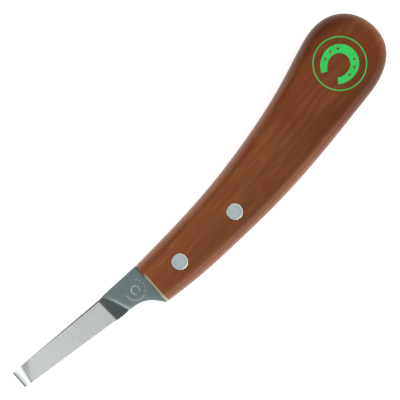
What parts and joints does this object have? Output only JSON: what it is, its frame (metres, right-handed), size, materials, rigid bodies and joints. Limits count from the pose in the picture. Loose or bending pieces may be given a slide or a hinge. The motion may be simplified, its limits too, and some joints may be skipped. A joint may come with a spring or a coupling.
{
  "type": "hoof knife",
  "caption": "Fixed-blade hoof knife: narrow single-edged blade with a hooked tip, wedge-ground behind a flared neck, riveted into a slotted, curved hardwood handle.",
  "frame": {"origin": "centre of the bounding box's underside, on the plane of the handle's flat back face", "axes": "+X from the hook to the handle's butt, +Y towards the blade's spine, +Z out of the hook's open side"},
  "size_m": [0.2, 0.0384, 0.017],
  "materials": {
    "blade_steel": "satin neck, finely ground and polished blade and hook",
    "handle_wood": "stained red-brown hardwood, thin semi-gloss lacquer",
    "rivet_metal": "fine-turned face, flush with the wood"
  },
  "bodies": {
    "root": {"blade": "blade_steel", "handle": "handle_wood", "rivet_1_tube": "rivet_metal", "rivet_1_pin": "rivet_metal", "rivet_2_tube": "rivet_metal", "rivet_2_pin": "rivet_metal"}
  },
  "joints": []
}
